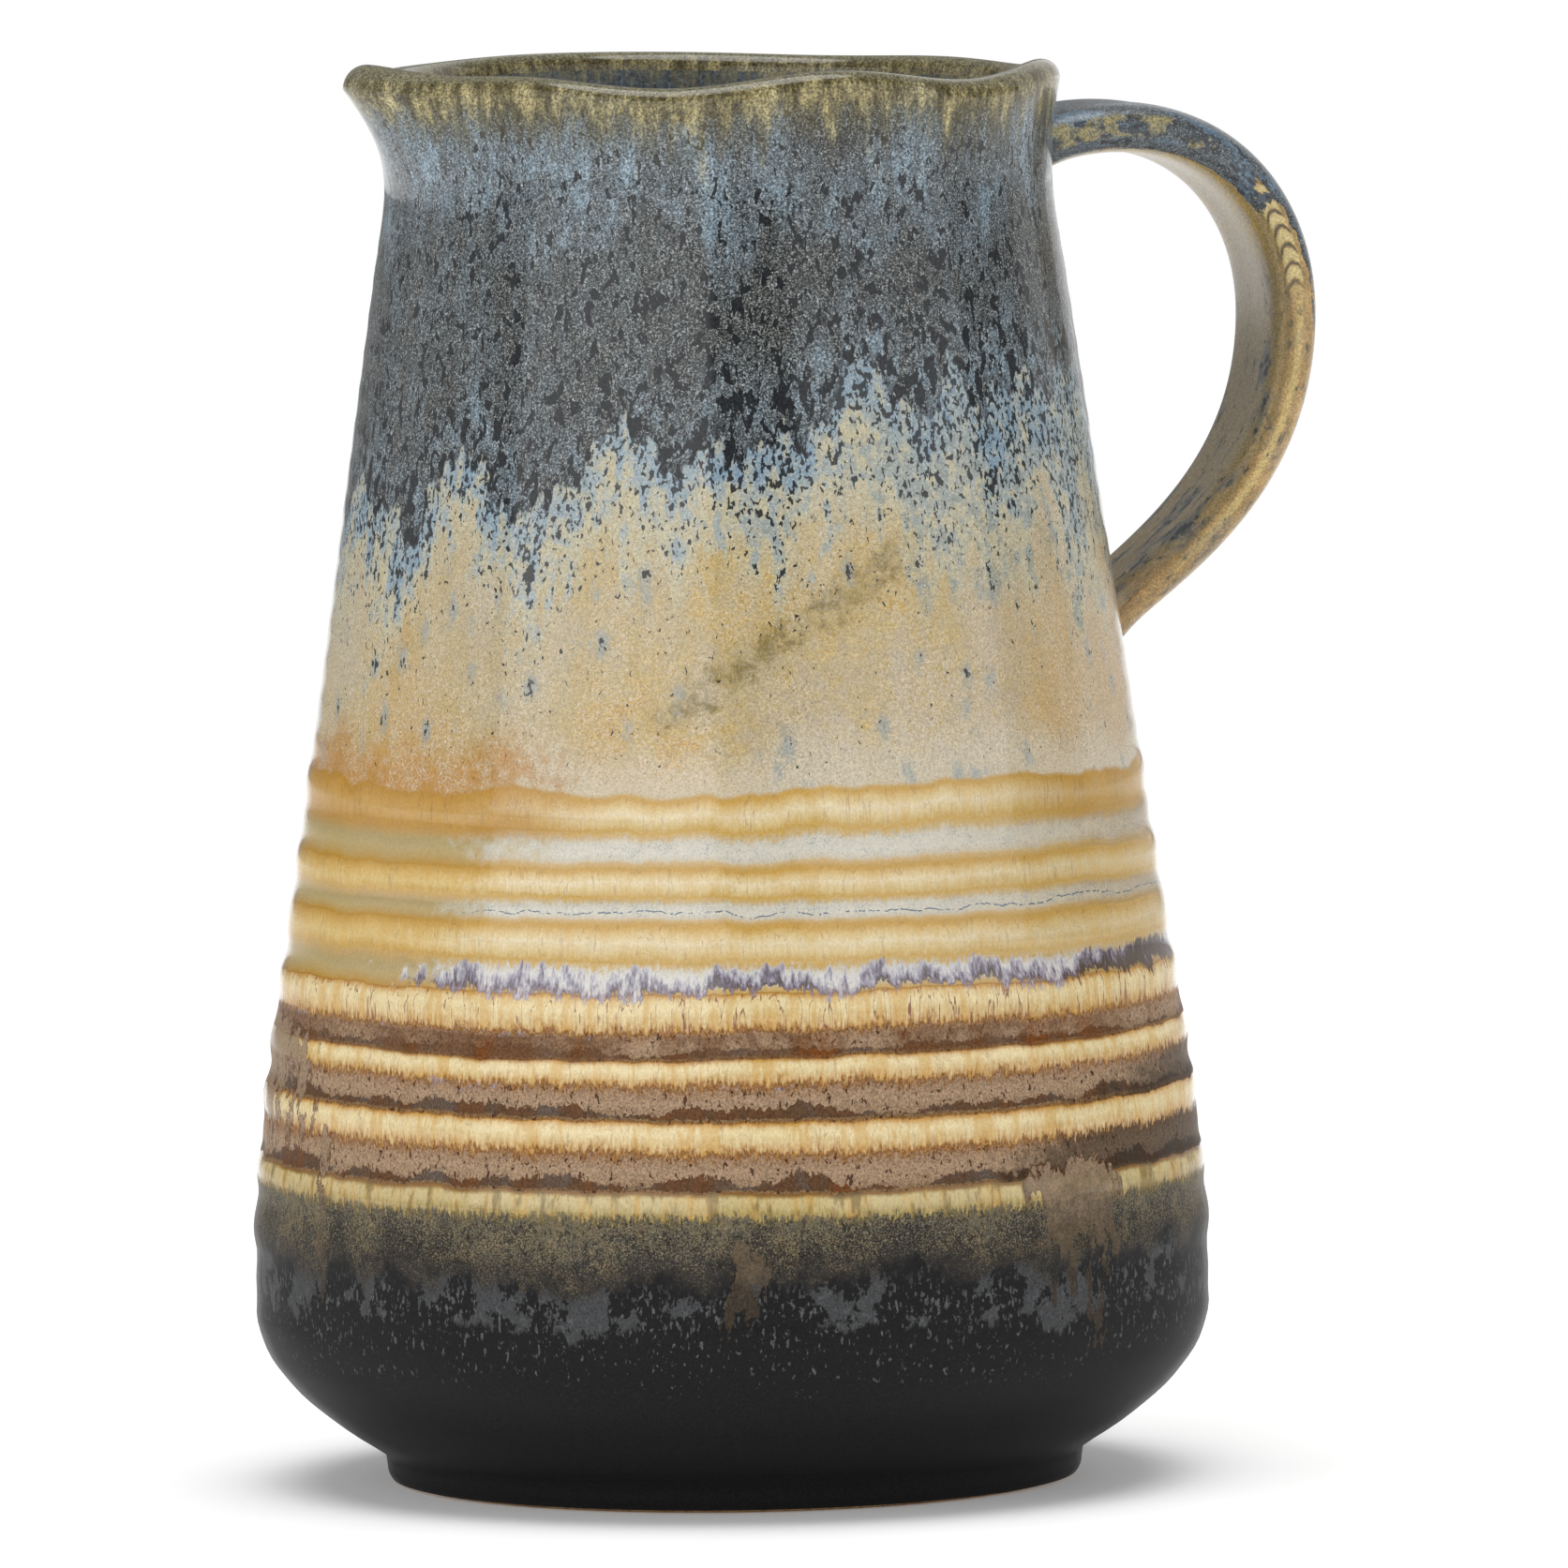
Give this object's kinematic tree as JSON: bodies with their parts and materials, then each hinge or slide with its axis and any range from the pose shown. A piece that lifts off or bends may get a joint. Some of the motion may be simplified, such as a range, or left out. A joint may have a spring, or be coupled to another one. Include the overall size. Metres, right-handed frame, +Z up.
{
  "type": "stoneware jug",
  "caption": "Tapered stoneware jug with a round belly on a foot ring, ringed lower wall, wavy rim, pulled spout and strap handle, for holding and pouring drinks.",
  "frame": {"origin": "middle of the ring that the jug stands on, on its axis", "axes": "+Z up along the jug's axis, +X towards the handle, -X towards the spout"},
  "size_m": [0.1635, 0.142, 0.2106],
  "materials": {
    "clay": "bare fired stoneware",
    "slip": "fired joining slip",
    "black_glaze": "matt",
    "striped_glaze": "gloss over matt stripes",
    "honey_glaze": "gloss",
    "blue_glaze": "satin gloss",
    "liner_glaze": "gloss",
    "strap_glaze": "gloss"
  },
  "bodies": {
    "root": {"body": "clay", "neck": "clay", "foot_ring": "clay", "handle": "clay", "upper_handle_slip": "slip", "lower_handle_slip": "slip", "base_glaze": "black_glaze", "band_glaze": "striped_glaze", "honey_glaze": "honey_glaze", "blue_glaze": "blue_glaze", "rim_glaze": "blue_glaze", "liner_glaze": "liner_glaze", "handle_glaze": "strap_glaze"}
  },
  "joints": []
}
